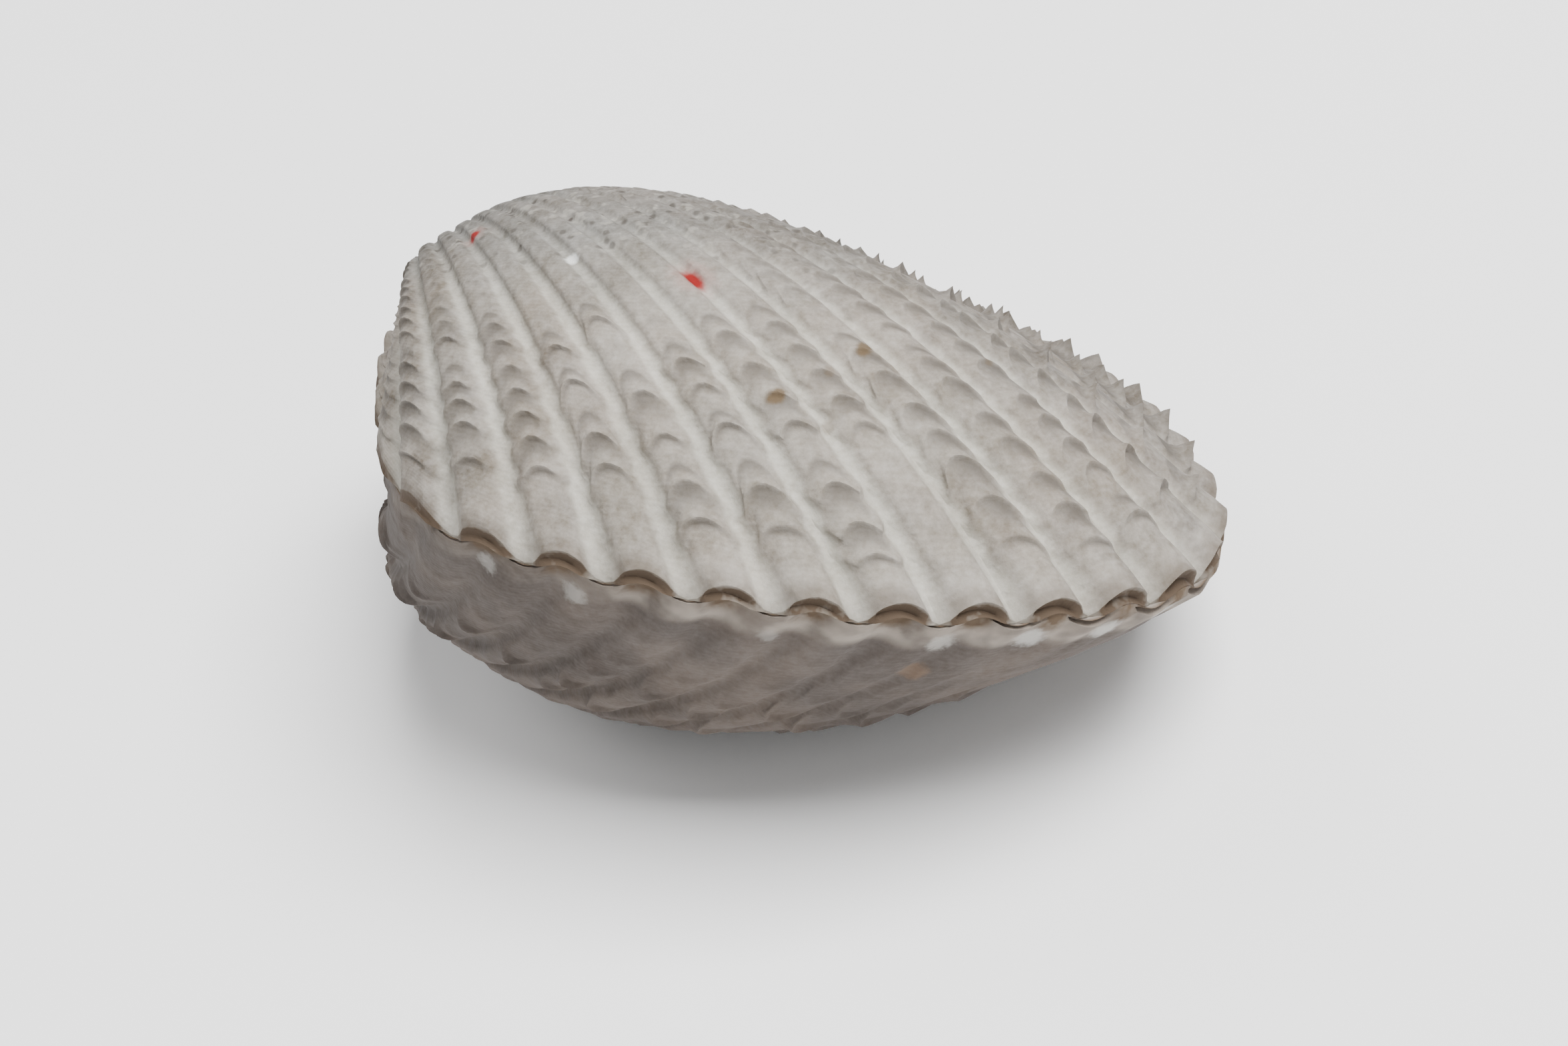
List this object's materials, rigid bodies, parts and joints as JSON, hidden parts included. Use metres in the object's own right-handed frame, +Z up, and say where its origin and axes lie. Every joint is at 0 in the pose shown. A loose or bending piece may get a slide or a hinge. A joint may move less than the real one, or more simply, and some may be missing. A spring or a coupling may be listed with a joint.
{
  "type": "seashell",
  "caption": "Closed file clam shell: two deep, hollow valves with broad scaly ribs that meet along a waved margin.",
  "frame": {"origin": "on the floor that the shell lies on, under the middle of its bounding box", "axes": "+Z up from the floor; the hinge line runs near X; the ventral margin faces -Y. The commissure leans 24.5 degrees from level, because the shell lies on the bulge of its lower valve."},
  "size_m": [0.063, 0.0656, 0.042],
  "materials": {
    "upper_valve": "matte, chalky",
    "lower_valve": "matte, chalky",
    "ligament": "dried, horny"
  },
  "bodies": {
    "root": {"upper_valve": "upper_valve", "lower_valve": "lower_valve", "ligament": "ligament"}
  },
  "joints": []
}
